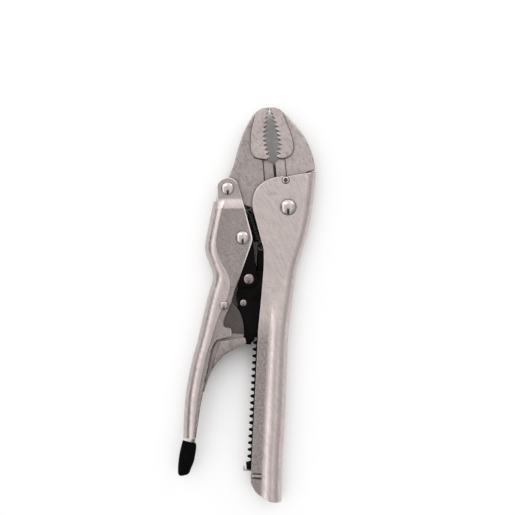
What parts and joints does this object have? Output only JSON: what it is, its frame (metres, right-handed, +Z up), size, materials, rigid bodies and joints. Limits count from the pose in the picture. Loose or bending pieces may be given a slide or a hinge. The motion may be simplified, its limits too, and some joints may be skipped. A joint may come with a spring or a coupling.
{
  "type": "locking pliers",
  "caption": "Self-adjusting locking pliers with curved toothed jaws, wire cutter, toothed rack and sliding carriage, toggle link and long release lever.",
  "frame": {"origin": "on the jaw pivot's axis, in the plane of the rear rivet heads, on which the tool lies", "axes": "+Y along the tool towards the jaws, +X across it towards the fixed handle's spine, +Z up through its thickness"},
  "size_m": [0.0885, 0.252, 0.0204],
  "materials": {
    "nickel": "satin nickel plate on pressed steel",
    "forged": "nickel plate on grained forged steel",
    "polished": "polished rivet steel",
    "black_steel": "black oxide, oiled",
    "lever_steel": "plain satin steel",
    "spring_steel": "dark spring wire",
    "vinyl": "black dipped vinyl"
  },
  "bodies": {
    "housing": {"fixed_handle": "nickel", "fixed_jaw": "forged", "jaw_rivet": "polished", "roll_pin": "polished", "rack": "black_steel", "rack_clip": "polished", "rack_rivet": "nickel", "jaw_spring": "spring_steel"},
    "jaw": {"moving_jaw": "forged"},
    "handle": {"moving_handle": "nickel", "handle_rivet": "polished", "toggle_rivet": "polished", "lever_rivet": "polished", "lever_spring": "spring_steel"},
    "link": {"front_link": "black_steel", "rear_link": "black_steel", "link_rivet": "polished"},
    "carriage": {"front_carriage_plate": "black_steel", "rear_carriage_plate": "black_steel", "carriage_block": "black_steel", "guide_pin": "black_steel", "pawl_rivet": "polished"},
    "pawl": {"locking_pawl": "black_steel"},
    "screw": {"pressure_screw": "black_steel"},
    "lever": {"release_lever": "lever_steel", "lever_tip": "vinyl"}
  },
  "joints": [
    {"name": "jaw_swing", "type": "hinge", "parent": "housing", "child": "jaw", "pos_m": [0, 0, 0.0101], "axis": [0, 0, 1], "range_deg": [0, 25], "deforming": ["jaw_spring"]},
    {"name": "handle_swing", "type": "hinge", "parent": "jaw", "child": "handle", "pos_m": [-0.0385, 0.0118, 0.0101], "axis": [0, 0, -1], "range_deg": [0, 55]},
    {"name": "link_swing", "type": "hinge", "parent": "handle", "child": "link", "pos_m": [-0.029, -0.0194, 0.0101], "axis": [0, 0, 1], "range_deg": [0, 73.3]},
    {"name": "carriage_slide", "type": "slide", "parent": "housing", "child": "carriage", "axis": [-0.0489, -0.9988, 0], "range_m": [0, 0.00985]},
    {"name": "pawl_swing", "type": "hinge", "parent": "carriage", "child": "pawl", "pos_m": [-0.0286, -0.0611, 0.0101], "axis": [0, 0, -1], "range_deg": [0, 25]},
    {"name": "screw_turn", "type": "hinge", "parent": "carriage", "child": "screw", "pos_m": [-0.02562, -0.08375, 0.0101], "axis": [-0.0489, -0.9988, 0], "range_deg": [-180, 180]},
    {"name": "lever_swing", "type": "hinge", "parent": "handle", "child": "lever", "pos_m": [-0.0409, -0.0626, 0.0101], "axis": [0, 0, -1], "range_deg": [0, 2], "stiffness_Nm_per_rad": 0.4, "springref_deg": -5.73}
  ],
  "couplings": [
    {"joint": "handle_swing", "follows": "jaw_swing", "ratio": 2.2},
    {"joint": "link_swing", "follows": "jaw_swing", "ratio": 2.932},
    {"joint": "carriage_slide", "follows": "jaw_swing", "m_per_rad": 0.02257},
    {"joint": "pawl_swing", "follows": "jaw_swing", "ratio": 1}
  ]
}
